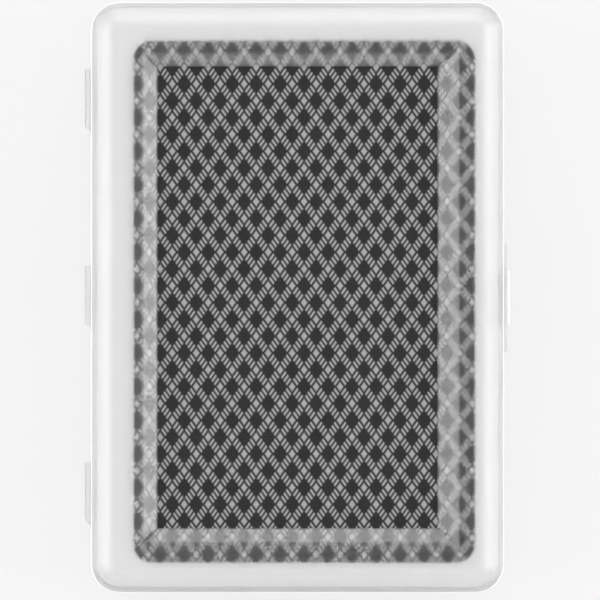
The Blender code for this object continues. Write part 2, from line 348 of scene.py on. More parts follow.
@dataclass(frozen=True)
class Polypropylene:
    """Injection-moulded polypropylene: milky from an eroded mould, clear from a polished one."""

    name: str
    roughness: float
    clear_share: float
    spread: float
    grain_depth_mm: float
    colour: str = "FFFFFF"
    cloud: str = "FDFDFD"
    ior: float = 1.49
    grain_mm: float = 0.3
    grain_low: float = 0.25
    grain_high: float = 0.75
    cloud_mm: float = 9.0

    def build(self) -> bpy.types.Material:
        """Makes the material.

        Returns:
            The material.
        """
        material, tree, shader = new_material(self.name)
        place = add_node(tree, "ShaderNodeTexCoord").outputs["Object"]
        # Melt that cooled unevenly leaves faint clouds.
        melt = {"Vector": place, "Scale": 1 / (self.cloud_mm * MM), "Detail": 3.0}
        flow = add_node(tree, "ShaderNodeTexNoise", melt)
        shades = {"Factor": flow.outputs["Fac"], "A": linear(self.colour), "B": linear(self.cloud)}
        clouds = add_node(tree, "ShaderNodeMix", shades, data_type="RGBA")
        tree.links.new(colour_socket(clouds), shader.inputs["Base Color"])
        # The eroded mould gives a fine grain that scatters what shows through it. Real grain is about 0.03 mm
        # wide, and it is drawn ten times as coarse so that it shows.
        grit = {"Vector": place, "Scale": 1 / (self.grain_mm * MM), "Detail": 1.0}
        grain = add_node(tree, "ShaderNodeTexNoise", grit)
        spans = {
            "From Min": self.grain_low,
            "From Max": self.grain_high,
            "To Min": self.roughness - self.spread,
            "To Max": self.roughness + self.spread,
        }
        roughen(tree, shader, grain.outputs["Fac"], spans, self.grain_depth_mm)
        shader.inputs["Transmission Weight"].default_value = self.clear_share
        shader.inputs["IOR"].default_value = self.ior
        return material


@dataclass(frozen=True)
class LinenPress:
    """The fine waves that linen rollers press into coated card, in its gloss and its relief."""

    roughness: float
    spread: float
    specular: float
    weave_mm: float = 0.4
    depth_mm: float = 0.002

    def press(self, tree: bpy.types.NodeTree, shader: bpy.types.Node, place: bpy.types.NodeSocket) -> None:
        """Adds the waves to a card's shader.

        Args:
            tree: The material's node tree.
            shader: Its Principled shader.
            place: The place on the card.
        """
        linen = {"Vector": place, "Scale": 1 / (self.weave_mm * MM), "Detail": 1.0}
        weave = add_node(tree, "ShaderNodeTexNoise", linen)
        spans = {"To Min": self.roughness - self.spread, "To Max": self.roughness + self.spread}
        roughen(tree, shader, weave.outputs["Fac"], spans, self.depth_mm)
        shader.inputs["Specular IOR Level"].default_value = self.specular


@dataclass(frozen=True)
class PrintedBack:
    """Coated card stock, offset printed: a charcoal ground with a lattice of short pale strokes."""

    ink: str = "2D2D2D"
    stock: str = "E5E5E3"
    pitch_x_mm: float = 3.992
    pitch_y_mm: float = 5.6
    node_half: float = 0.135
    band_half: float = 0.175
    stroke_step: float = 0.2
    stroke_half: float = 0.05
    softness: float = 0.05
    origin_mm: tuple[float, float] = (-22.85, -23.28)
    linen: LinenPress = LinenPress(0.42, 0.05, 0.25)

    def fade(self, value: object, limit: float) -> dict[str, object]:
        """The inputs of a Map Range node that falls from 1 to 0 where a value passes a limit."""
        low, high = limit - self.softness, limit + self.softness
        return {"Value": value, "From Min": low, "From Max": high, "To Min": 1.0, "To Max": 0.0}

    def band(self, tree: bpy.types.NodeTree, along: bpy.types.Node, across: bpy.types.Node) -> bpy.types.Node:
        """The strokes that step along a band between two crossings.

        Args:
            tree: The material's node tree.
            along: The distance from the nearest crossing along the band, in steps of the lattice.
            across: The distance from the band's middle, in steps of the lattice.

        Returns:
            A node that gives 1 on a stroke and 0 beside it.
        """
        half_step = self.stroke_step / 2
        moved = add_node(tree, "ShaderNodeMath", {0: along, 1: half_step}, operation="SUBTRACT")
        step = add_node(tree, "ShaderNodeMath", {0: moved, 1: half_step}, operation="PINGPONG")
        limits = ((step, self.stroke_half), (along, self.stroke_step), (across, self.band_half))
        stroke, near, inside = (
            add_node(tree, "ShaderNodeMapRange", self.fade(value, limit), interpolation_type="SMOOTHSTEP")
            for value, limit in limits
        )
        clear = add_node(tree, "ShaderNodeMath", {0: 1.0, 1: near}, operation="SUBTRACT")
        strokes = add_node(tree, "ShaderNodeMath", {0: stroke, 1: clear}, operation="MULTIPLY")
        return add_node(tree, "ShaderNodeMath", {0: strokes, 1: inside}, operation="MULTIPLY")

    def print_mask(self, tree: bpy.types.NodeTree, place: bpy.types.NodeSocket) -> bpy.types.Node:
        """The share of bare stock that shows in the printed lattice.

        Args:
            tree: The material's node tree.
            place: The place on the card.

        Returns:
            A node that gives 1 on a pale stroke and 0 on the charcoal ground.
        """
        origin = metres(*self.origin_mm, 0)
        shifted = add_node(tree, "ShaderNodeVectorMath", {0: place, 1: origin}, operation="SUBTRACT")
        offsets = []
        for side in (-1, 1):
            steps = (1 / (self.pitch_x_mm * MM), side / (self.pitch_y_mm * MM), 0)
            line = add_node(tree, "ShaderNodeVectorMath", {0: shifted, 1: steps}, operation="DOT_PRODUCT")
            number = line.outputs["Value"]
            offsets.append(add_node(tree, "ShaderNodeMath", {0: number, 1: 0.5}, operation="PINGPONG"))
        first, second = offsets
        farther = add_node(tree, "ShaderNodeMath", {0: first, 1: second}, operation="MAXIMUM")
        crossing = add_node(
            tree, "ShaderNodeMapRange", self.fade(farther, self.node_half), interpolation_type="SMOOTHSTEP"
        )
        bands = {0: self.band(tree, first, second), 1: self.band(tree, second, first)}
        both = add_node(tree, "ShaderNodeMath", bands, operation="MAXIMUM")
        return add_node(tree, "ShaderNodeMath", {0: crossing, 1: both}, operation="MAXIMUM")

    def build(self) -> bpy.types.Material:
        """Makes the material.

        Returns:
            The material.
        """
        material, tree, shader = new_material("offset_printed_card_back")
        place = add_node(tree, "ShaderNodeTexCoord").outputs["Object"]
        inks = {"Factor": self.print_mask(tree, place), "A": linear(self.ink), "B": linear(self.stock)}
        colour = add_node(tree, "ShaderNodeMix", inks, data_type="RGBA")
        tree.links.new(colour_socket(colour), shader.inputs["Base Color"])
        self.linen.press(tree, shader, place)
        return material


@dataclass(frozen=True)
class CardEdge:
    """Cut edges of pressed card stock: off-white fibres, drawn coarser than real ones so that they show."""

    pale: str = "EDEDE9"
    dark: str = "D3D1CA"
    fibre_mm: float = 0.25
    stretch: float = 6.0
    roughness_low: float = 0.72
    roughness_high: float = 0.88
    depth_mm: float = 0.01
    specular: float = 0.3

    def build(self) -> bpy.types.Material:
        """Makes the material.

        Returns:
            The material.
        """
        material, tree, shader = new_material("cut_card_stock")
        place = add_node(tree, "ShaderNodeTexCoord").outputs["Object"]
        scale = 1 / (self.fibre_mm * MM)
        stretched = (scale, scale, scale * self.stretch)
        laid = add_node(tree, "ShaderNodeMapping", {"Vector": place, "Scale": stretched})
        pulp = {"Vector": laid, "Scale": 1.0, "Detail": 2.0}
        fibre = add_node(tree, "ShaderNodeTexNoise", pulp).outputs["Fac"]
        shades = {"Factor": fibre, "A": linear(self.dark), "B": linear(self.pale)}
        colour = add_node(tree, "ShaderNodeMix", shades, data_type="RGBA")
        tree.links.new(colour_socket(colour), shader.inputs["Base Color"])
        spans = {"To Min": self.roughness_low, "To Max": self.roughness_high}
        roughen(tree, shader, fibre, spans, self.depth_mm)
        shader.inputs["Specular IOR Level"].default_value = self.specular
        return material


@dataclass(frozen=True)
class CardFace:
    """Coated card stock, offset printed: a white face with a fine linen press, and pips on an ace."""

    name: str
    pips: bool
    stock: str = "F3F3F0"
    shade: str = "EDEDE9"
    formation_mm: float = 3.0
    red: str = "B3262B"
    centre_mm: tuple[float, float] = (1.08, -0.7)
    pip_mm: float = 7.5
    corner_pip_mm: float = 1.9
    corner_mm: tuple[float, float] = (23.8, 32.0)
    letter_foot_mm: float = 34.6
    letter_mm: tuple[float, float] = (1.75, 4.6)
    bar_share: float = 0.3
    stroke_mm: float = 0.34
    linen: LinenPress = LinenPress(0.45, 0.09, 0.35)

    def build(self) -> bpy.types.Material:
        """Makes the material.

        Returns:
            The material.
        """
        material, tree, shader = new_material(self.name)
        place = add_node(tree, "ShaderNodeTexCoord").outputs["Object"]
        pulp = {"Vector": place, "Scale": 1 / (self.formation_mm * MM), "Detail": 2.0}
        # Pressed pulp is a little uneven, which shows as faint patches.
        patches = add_node(tree, "ShaderNodeTexNoise", pulp).outputs["Fac"]
        shades = {"Factor": patches, "A": linear(self.shade), "B": linear(self.stock)}
        colour = colour_socket(add_node(tree, "ShaderNodeMix", shades, data_type="RGBA"))
        if self.pips:
            inks = {"Factor": self.pip_mask(tree, place), "A": colour, "B": linear(self.red)}
            colour = colour_socket(add_node(tree, "ShaderNodeMix", inks, data_type="RGBA"))
        tree.links.new(colour, shader.inputs["Base Color"])
        self.linen.press(tree, shader, place)
        return material

    def heart(
        self, tree: bpy.types.NodeTree, place: bpy.types.Node, centre_mm: tuple[float, float], size_mm: float
    ) -> bpy.types.Node:
        """A heart: the inside of the curve (x2 + y2 - 1)^3 = x2 y3.

        Args:
            tree: The material's node tree.
            place: The place on the card, from its middle.
            centre_mm: The heart's middle.
            size_mm: Its half width.

        Returns:
            A node that gives 1 inside the heart and 0 outside it.
        """
        middle = metres(*centre_mm, 0)
        off = add_node(tree, "ShaderNodeVectorMath", {0: place, 1: middle}, operation="SUBTRACT")
        unit = {0: off, "Scale": 1 / (size_mm * MM)}
        sized = add_node(tree, "ShaderNodeVectorMath", unit, operation="SCALE")
        axes = add_node(tree, "ShaderNodeSeparateXYZ", {0: sized}).outputs
        across = add_node(tree, "ShaderNodeMath", {0: axes["X"], 1: axes["X"]}, operation="MULTIPLY")
        along = add_node(tree, "ShaderNodeMath", {0: axes["Y"], 1: axes["Y"]}, operation="MULTIPLY")
        inner = add_node(tree, "ShaderNodeMath", {0: along, 1: 1.0}, operation="SUBTRACT")
        ring = add_node(tree, "ShaderNodeMath", {0: across, 1: inner}, operation="ADD")
        square = add_node(tree, "ShaderNodeMath", {0: ring, 1: ring}, operation="MULTIPLY")
        cube = add_node(tree, "ShaderNodeMath", {0: square, 1: ring}, operation="MULTIPLY")
        third = add_node(tree, "ShaderNodeMath", {0: along, 1: axes["Y"]}, operation="MULTIPLY")
        lobe = add_node(tree, "ShaderNodeMath", {0: across, 1: third}, operation="MULTIPLY")
        return add_node(tree, "ShaderNodeMath", {0: cube, 1: lobe}, operation="LESS_THAN")

    def letter(self, tree: bpy.types.NodeTree, place: bpy.types.Node) -> bpy.types.Node:
        """The corner's index letter: two legs that lean together and a bar.

        Args:
            tree: The material's node tree.
            place: The place on the card, from its middle, with both ends turned the same way.

        Returns:
            A node that gives 1 on the letter and 0 beside it.
        """
        foot = metres(self.corner_mm[0], self.letter_foot_mm, 0)
        shifted = add_node(tree, "ShaderNodeVectorMath", {0: place, 1: foot}, operation="SUBTRACT")
        axes = add_node(tree, "ShaderNodeSeparateXYZ", {0: shifted}).outputs
        width, height = (value * MM for value in self.letter_mm)
        rise = add_node(tree, "ShaderNodeMath", {0: axes["Y"], 1: height}, operation="DIVIDE")
        left = add_node(tree, "ShaderNodeMath", {0: 1.0, 1: rise}, operation="SUBTRACT")
        leg = add_node(tree, "ShaderNodeMath", {0: left, 1: width}, operation="MULTIPLY")
        off = add_node(tree, "ShaderNodeMath", {0: axes["X"]}, operation="ABSOLUTE")
        legs = add_node(tree, "ShaderNodeMath", {0: off, 1: leg, 2: self.stroke_mm * MM}, operation="COMPARE")
        middle = {0: rise, 1: self.bar_share, 2: self.stroke_mm * MM / height}
        bar = add_node(tree, "ShaderNodeMath", middle, operation="COMPARE")
        between = add_node(tree, "ShaderNodeMath", {0: off, 1: leg}, operation="LESS_THAN")
        bar = add_node(tree, "ShaderNodeMath", {0: bar, 1: between}, operation="MULTIPLY")
        strokes = add_node(tree, "ShaderNodeMath", {0: legs, 1: bar}, operation="MAXIMUM")
        tall = add_node(tree, "ShaderNodeMath", {0: rise, 1: 0.5, 2: 0.5}, operation="COMPARE")
        return add_node(tree, "ShaderNodeMath", {0: strokes, 1: tall}, operation="MULTIPLY")

    def pip_mask(self, tree: bpy.types.NodeTree, place: bpy.types.NodeSocket) -> bpy.types.Node:
        """Where the red of an ace of hearts lies: one large pip, and an index and a small pip in two corners.

        Args:
            tree: The material's node tree.
            place: The place on the card.

        Returns:
            A node that gives 1 on the print and 0 off it.
        """
        centre = metres(*self.centre_mm, 0)
        card = add_node(tree, "ShaderNodeVectorMath", {0: place, 1: centre}, operation="SUBTRACT")
        end = add_node(tree, "ShaderNodeSeparateXYZ", {0: card}).outputs["Y"]
        half = add_node(tree, "ShaderNodeMath", {0: end}, operation="SIGN")
        turned = add_node(tree, "ShaderNodeVectorMath", {0: card, "Scale": half}, operation="SCALE")
        large = self.heart(tree, card, (0, 0), self.pip_mm)
        small = self.heart(tree, turned, self.corner_mm, self.corner_pip_mm)
        index = self.letter(tree, turned)
        corner = add_node(tree, "ShaderNodeMath", {0: small, 1: index}, operation="MAXIMUM")
        return add_node(tree, "ShaderNodeMath", {0: large, 1: corner}, operation="MAXIMUM")


# Shells


@dataclass(frozen=True)
class Outline:
    """One level of a shell: how far it lies in from each side of the case, and its height, in millimetres."""

    insets: tuple[float, float, float, float]
    height: float
    ease: float = 0.0

    def mean(self) -> float:
        """The mean inset."""
        return sum(self.insets) / 4

    def toward(self, other: "Outline", share: float) -> "Outline":
        """A level between this one and another.

        Args:
            other: The other level.
            share: How far towards it, from 0 to 1.

        Returns:
            The level between.
        """
        insets = tuple(a + (b - a) * share for a, b in zip(self.insets, other.insets))
        return Outline(insets, self.height + (other.height - self.height) * share)

    def gap(self, other: "Outline") -> float:
        """How far apart two levels lie, by their mean inset and their height."""
        return math.hypot(self.mean() - other.mean(), self.height - other.height)


def even(inset: float, height: float, ease: float = 0.0) -> Outline:
    """A level with the same inset on all four sides."""
    return Outline((inset,) * 4, height, ease)


def eased(levels: list[Outline], steps: int) -> list[Outline]:
    """Turns each level that has an ease length into a short curve.

    Args:
        levels: The levels in order.
        steps: How many steps each curve has.

    Returns:
        The levels with the curves in place.
    """
    rings = [levels[0]]
    for before, corner, after in zip(levels, levels[1:], levels[2:]):
        if corner.ease == 0:
            rings.append(corner)
            continue
        start = corner.toward(before, min(corner.ease / corner.gap(before), EASE_LIMIT))
        end = corner.toward(after, min(corner.ease / corner.gap(after), EASE_LIMIT))
        for step in range(steps + 1):
            share = step / steps
            rings.append(start.toward(corner, share).toward(corner.toward(end, share), share))
    return [*rings, levels[-1]]


@dataclass
class CaseSizes:
    """The sizes in millimetres that both halves of the case share."""

    width: float = 68.7
    length: float = 98.3
    height: float = 20.0
    corner_radius: float = 4.8
    sharp_radius: float = 0.4
    wall: float = 1.3
    floor: float = 1.2
    lid_skin: float = 1.0
    bevel_width: float = 3.3
    bevel_height: float = 2.6
    bevel_ease: float = 0.8
    soft_edge: float = 0.25
    parting: float = 12.0
    rim_gap: float = 0.1
    lap_height: float = 1.2
    lap_clearance: float = 0.1
    lap_inset: float = 0.65
    corner_steps: int = 16
    ease_steps: int = 6
    # A face looks up if its normal rises by more than the first, and is upright if by less than the second.
    up: float = 0.5
    upright: float = 0.35

    def inner_bevel(self, thickness: float) -> tuple[float, float]:
        """Where the inside of a bevelled edge meets the inside of the floor and of the wall.

        Args:
            thickness: The thickness of the floor or the skin.

        Returns:
            The inset of the first and the height of the second.
        """
        face = math.hypot(self.bevel_width, self.bevel_height)
        inset = self.bevel_width + thickness * (face - self.bevel_width) / self.bevel_height
        height = self.bevel_height + (thickness * face - self.wall * self.bevel_height) / self.bevel_width
        return inset, height

    def inset_of(self, x: float, y: float) -> float:
        """How far in from the rounded outline of the case a place lies, in millimetres.

        Args:
            x: The place across the case.
            y: The place along it.

        Returns:
            The distance to the outline.
        """
        past_x = abs(x) - self.width / 2 + self.corner_radius
        past_y = abs(y) - self.length / 2 + self.corner_radius
        if past_x > 0 and past_y > 0:
            return self.corner_radius - math.hypot(past_x, past_y)
        return self.corner_radius - max(past_x, past_y)

    def add_outline(self, level: Outline) -> None:
        """Adds one rounded rectangle of edges to the mesh in edit mode.

        Args:
            level: Where it lies.
        """
        hinge, latch, front, back = level.insets
        half_x, half_y = (self.width - hinge - latch) / 2, (self.length - front - back) / 2
        centre = metres((hinge - latch) / 2, (front - back) / 2, level.height)
        radius = max(self.corner_radius - level.mean(), self.sharp_radius)
        bpy.ops.mesh.primitive_plane_add(size=2 * MM, location=centre)
        bpy.ops.transform.resize(value=(half_x, half_y, 1), center_override=centre)
        bpy.ops.mesh.bevel(affect="VERTICES", offset=radius * MM, segments=self.corner_steps)
        bpy.ops.mesh.delete(type="ONLY_FACE")

    def loft(self, name: str, levels: list[Outline]) -> bpy.types.Object:
        """Skins a shell over its levels, from the cap of the first to the cap of the last.

        The levels are bridged one above the other as a tower, because the bridge can twist between two loops
        in one plane, and then each is moved to its own height.

        Args:
            name: The piece's name.
            levels: The levels in order.

        Returns:
            The closed shell, in object mode.
        """
        piece = start_mesh(name)
        rings = eased(levels, self.ease_steps)
        bmesh.from_edit_mesh(piece.data).verts.layers.int.new("ring")
        for number, ring in enumerate(rings, 1):
            self.add_outline(Outline(ring.insets, float(number)))
            mesh = bmesh.from_edit_mesh(piece.data)
            layer = mesh.verts.layers.int["ring"]
            for vertex in mesh.verts:
                vertex[layer] = vertex[layer] or number
            bmesh.update_edit_mesh(piece.data)
        for number in range(1, len(rings)):
            self.select_rings(piece, number, number + 1)
            bpy.ops.mesh.bridge_edge_loops()
        for number in (1, len(rings)):
            self.select_rings(piece, number, number)
            bpy.ops.mesh.edge_face_add()
        mesh = bmesh.from_edit_mesh(piece.data)
        layer = mesh.verts.layers.int["ring"]
        for vertex in mesh.verts:
            vertex.co.z = rings[vertex[layer] - 1].height * MM
        mesh.verts.layers.int.remove(layer)
        bmesh.update_edit_mesh(piece.data)
        bpy.ops.object.mode_set(mode="OBJECT")
        finish_mesh(piece)
        return piece

    def select_rings(self, piece: bpy.types.Object, first: int, last: int) -> None:
        """Selects the edges of one or two neighbouring rings.

        Args:
            piece: The shell in edit mode.
            first: The lower ring's number.
            last: The higher ring's number.
        """
        bpy.ops.mesh.select_mode(type="EDGE")
        mesh = bmesh.from_edit_mesh(piece.data)
        layer = mesh.verts.layers.int["ring"]
        for edge in mesh.edges:
            a, b = (vertex[layer] for vertex in edge.verts)
            edge.select_set(a == b and first <= a <= last)
        bmesh.update_edit_mesh(piece.data)


@dataclass
class LatchPads:
    """The raised pads that frame the latch on both walls, and the catch that its hook holds on to."""

    sizes: CaseSizes
    width: float = 18.8
    reach: float = 0.75
    rounding: float = 0.12
    slant: float = math.radians(40)
    bite: float = 0.5
    rim_setback: float = 0.15
    lid_height: float = 3.4
    tray_height: float = 5.4
    notch_half: float = 4.65
    notch_rise: float = 3.1
    catch_drop: float = 2.5
    catch_height: float = 0.85
    catch_edge: float = 0.15
    catch_reach: float = 0.36
    catch_half: float = 3.8

    def lid_pad(self) -> bpy.types.Object:
        """Models the lid's pad, with the notch that the tongue's root sits in.

        Returns:
            The pad, a closed solid.
        """
        face = self.sizes.width / 2
        bottom = self.sizes.parting + self.sizes.rim_gap / 2 + self.rim_setback
        top = self.sizes.parting + self.sizes.rim_gap / 2 + self.lid_height
        start, end = face - self.bite, face + self.reach
        half, near = self.width / 2, self.notch_half
        outline = [(-half, bottom), (half, bottom), (half, top), (-half, top)]
        cuts = (self.end_cut(-1), self.end_cut(1))
        pad = make_bar("lid_pad", outline, Direction.ACROSS, start, end, self.rounding, cuts)
        low, high = bottom - self.bite, self.sizes.parting + self.notch_rise
        outline = [(-near, low), (near, low), (near, high), (-near, high)]
        notch = make_bar("notch", outline, Direction.ACROSS, start - self.bite, end + self.bite, 0.0)
        join_solid(pad, notch, "DIFFERENCE")
        return pad

    def end_cut(self, side: int) -> tuple[Point, Point]:
        """The cut that slants a pad's front end, for side -1, or its back end, for side 1."""
        place = metres(self.sizes.width / 2, side * self.width / 2, 0)
        return place, (math.sin(self.slant), side * math.cos(self.slant), 0)

    def tray_solids(self) -> list[bpy.types.Object]:
        """Models the two guards beside the tongue's tip and the catch between them.

        Returns:
            The three closed solids.
        """
        face = self.sizes.width / 2
        top = self.sizes.parting - self.sizes.rim_gap / 2 - self.rim_setback
        solids = []
        for name, side in (("front_guard", -1), ("back_guard", 1)):
            low, high = sorted((side * self.notch_half, side * self.width / 2))
            outline = [(low, top - self.tray_height), (high, top - self.tray_height), (high, top), (low, top)]
            cuts = (self.end_cut(side),)
            start, end = face - self.bite, face + self.reach
            solids.append(make_bar(name, outline, Direction.ACROSS, start, end, self.rounding, cuts))
        catch_top = self.sizes.parting - self.catch_drop
        catch_bottom = catch_top - self.catch_height
        outline = [
            (face - self.bite, catch_bottom),
            (face + self.catch_reach, catch_bottom),
            (face + self.catch_reach, catch_bottom + self.catch_edge),
            (face, catch_top),
            (face - self.bite, catch_top),
        ]
        solids.append(make_bar("catch", outline, Direction.ALONG, -self.catch_half, self.catch_half, 0.0))
        return solids


@dataclass
class LatchTongue:
    """The thumb tab: a springy, grooved blade that hangs from the lid and hooks under the catch."""

    sizes: CaseSizes
    width: float = 8.8
    reach: float = 1.1
    thickness: float = 0.66
    wall_gap: float = 0.1
    root_rise: float = 2.9
    root_height: float = 1.0
    drop: float = 5.8
    top_bevel: float = 0.35
    tip_ease: float = 0.15
    hook_top_drop: float = 3.45
    hook_edge: float = 0.15
    lead_share: float = 2.0
    rounding: float = 0.07
    groove_count: int = 3
    groove_pitch: float = 0.85
    groove_radius: float = 0.3
    groove_depth: float = 0.13
    groove_margin: float = 1.0

    def outline(self) -> list[tuple[float, float]]:
        """Works out the tongue's profile, from its root down past the hook to its tip and up the outside.

        Returns:
            The profile's corners as (x, z), in millimetres.
        """
        root = self.sizes.parting + self.root_rise
        foot = root - self.root_height
        tip = self.sizes.parting - self.drop
        hook = self.sizes.parting - self.hook_top_drop
        wall_side = self.sizes.width / 2 + self.wall_gap
        outer = self.sizes.width / 2 + self.reach
        inner = outer - self.thickness
        depth = inner - wall_side
        return [
            (wall_side, root),
            (wall_side, foot),
            (inner, foot - depth),
            (inner, hook),
            (wall_side, hook),
            (wall_side, hook - self.hook_edge),
            (inner, hook - self.hook_edge - depth * self.lead_share),
            (inner + self.tip_ease, tip),
            (outer - self.tip_ease, tip),
            (outer, tip + self.tip_ease),
            (outer, root - self.top_bevel),
            (outer - self.top_bevel, root),
        ]

    def build(self, finishes: dict[str, bpy.types.Material]) -> bpy.types.Object:
        """Models and dresses the tongue.

        Args:
            finishes: The materials by name.

        Returns:
            The piece.
        """
        half = self.width / 2
        piece = make_bar("latch_tab", self.outline(), Direction.ALONG, -half, half, self.rounding)
        middle = self.sizes.parting - self.drop / 2
        for number in range(self.groove_count):
            height = middle + (number - (self.groove_count - 1) / 2) * self.groove_pitch
            join_solid(piece, self.groove(height), "DIFFERENCE")
        finish_mesh(piece)
        up = self.sizes.up
        paint(piece, [finishes["wall"], finishes["lip"]], lambda face: int(face.normal.z > up))
        return piece

    def groove(self, height: float) -> bpy.types.Object:
        """The tool of one thumb groove.

        Args:
            height: The height of the groove in millimetres.

        Returns:
            A rod along the groove.
        """
        piece = start_mesh("groove")
        away = self.sizes.width / 2 + self.reach + self.groove_radius - self.groove_depth
        bpy.ops.mesh.primitive_cylinder_add(
            vertices=32,
            radius=self.groove_radius * MM,
            depth=(self.width - 2 * self.groove_margin) * MM,
            location=metres(away, 0, height),
            rotation=(math.pi / 2, 0, 0),
        )
        bpy.ops.object.mode_set(mode="OBJECT")
        return piece


@dataclass
class HingeStrap:
    """A living hinge: a thin web of the case's own plastic that bends round the joint of the two walls."""

    sizes: CaseSizes
    name: str
    middle: float
    length: float = 10.7
    reach: float = 1.1
    thickness: float = 0.42
    wall_gap: float = 0.05
    root: float = 0.15
    front_slant: float = math.radians(45)
    back_slant: float = math.radians(10)
    rounding: float = 0.1
    steps: int = 24
    end_share: float = 0.25

    def build(self, finishes: dict[str, bpy.types.Material]) -> bpy.types.Object:
        """Models and dresses the strap.

        Args:
            finishes: The materials by name.

        Returns:
            The piece, a half ring with its roots in the two walls.
        """
        piece = start_mesh(f"{self.name}_hinge_web")
        wall = -self.sizes.width / 2 - self.wall_gap
        outer = self.reach - self.wall_gap
        radius = outer - self.thickness / 2
        start = metres(wall, self.middle, self.sizes.parting - radius)
        bpy.ops.mesh.primitive_plane_add(size=MM, location=start, rotation=(0, math.pi / 2, 0))
        bpy.ops.transform.resize(value=(1, self.length, self.thickness), center_override=start)
        bpy.ops.mesh.subdivide(number_cuts=1)
        centre = metres(wall, self.middle, self.sizes.parting)
        bpy.ops.mesh.spin(steps=self.steps, angle=math.pi, center=centre, axis=(0, -1, 0))
        select_faces(piece, lambda face: face.calc_center_median().x > (wall - self.wall_gap / 2) * MM)
        bpy.ops.transform.translate(value=metres(self.root, 0, 0))
        bpy.ops.object.mode_set(mode="OBJECT")
        # The ends draw in towards the fold, more in front than behind.
        for vertex in piece.data.vertices:
            across, along = vertex.co.x - wall * MM, vertex.co.y - self.middle * MM
            slant = self.front_slant if along < 0 else self.back_slant
            if across < 0 and abs(along) > self.length * self.end_share * MM:
                vertex.co.y -= math.copysign(across * math.tan(slant), along)
        apply_modifier(piece, "BEVEL", width=self.rounding * MM, segments=2, limit_method="ANGLE")
        finish_mesh(piece)
        paint(piece, [finishes["web"]], lambda face: 0)
        return piece


@dataclass
class Deck:
    """The pile of cards, each one a thin slab with rounded corners, none lying quite square on the next."""

    width: float = 57.0
    length: float = 87.0
    thickness: float = 0.28
    corner_radius: float = 3.2
    corner_steps: int = 8
    edge: float = 0.03
    slip: float = 0.11
    turn: float = math.radians(0.07)
    seed: int = 54
    flat: float = 0.9

    def first_card(self) -> bpy.types.Object:
        """Models one card, centred on the origin.

        Returns:
            The card that the others are copied from.
        """
        piece = start_mesh("card")
        low = metres(0, 0, -self.thickness / 2)
        bpy.ops.mesh.primitive_plane_add(size=2 * MM, location=low)
        bpy.ops.transform.resize(value=(self.width / 2, self.length / 2, 1), center_override=low)
        bpy.ops.mesh.bevel(affect="VERTICES", offset=self.corner_radius * MM, segments=self.corner_steps)
        bpy.ops.mesh.select_all(action="SELECT")
        bpy.ops.mesh.extrude_region_move(TRANSFORM_OT_translate={"value": metres(0, 0, self.thickness)})
        bpy.ops.object.mode_set(mode="OBJECT")
        apply_modifier(
            piece,
            "BEVEL",
            width=self.edge * MM,
            segments=1,
            limit_method="ANGLE",
            angle_limit=math.radians(60),
        )
        finish_mesh(piece)
        return piece

    def build(self, finishes: dict[str, bpy.types.Material]) -> list[bpy.types.Object]:
        """Models and dresses the cards, one for each card of the frame.

        Args:
            finishes: The materials by name.

        Returns:
            The cards from the bottom of the pile to the top.
        """
        first = self.first_card()
        names = [name for name in frame["nodes"] if name.startswith("card_")]
        names.sort(key=lambda name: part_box(name)[0][2])
        draw = random.Random(self.seed)
        cards = []
        for name in names:
            low, high = (Vector(corner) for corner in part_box(name))
            card = first.copy()
            card.data = first.data.copy()
            card.name = card.data.name = name.replace("card_", "dealt_")
            bpy.context.scene.collection.objects.link(card)
            place = (low + high) / 2
            turn = 0.0
            if name != names[-1]:
                slips = [draw.uniform(-self.slip, self.slip) for _ in range(2)]
                place += Vector(metres(*slips, 0))
                turn = draw.uniform(-self.turn, self.turn)
            card.data.transform(Matrix.Translation(place) @ Matrix.Rotation(turn, 4, "Z"))
            faces = "ace" if name == names[0] else "face"
            paint(card, [finishes["cut"], finishes["back"], finishes[faces]], self.zone)
            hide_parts(name)
            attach(card, "tray")
            cards.append(card)
        bpy.data.objects.remove(first, do_unlink=True)
        return cards

    def zone(self, face: bpy.types.MeshPolygon) -> int:
        """The material slot of a face.

        Args:
            face: A face of a card.

        Returns:
            1 on the back, which lies up, 2 on the printed face and 0 on the cut edge.
        """
        if abs(face.normal.z) < self.flat:
            return 0
        return 1 if face.normal.z > 0 else 2


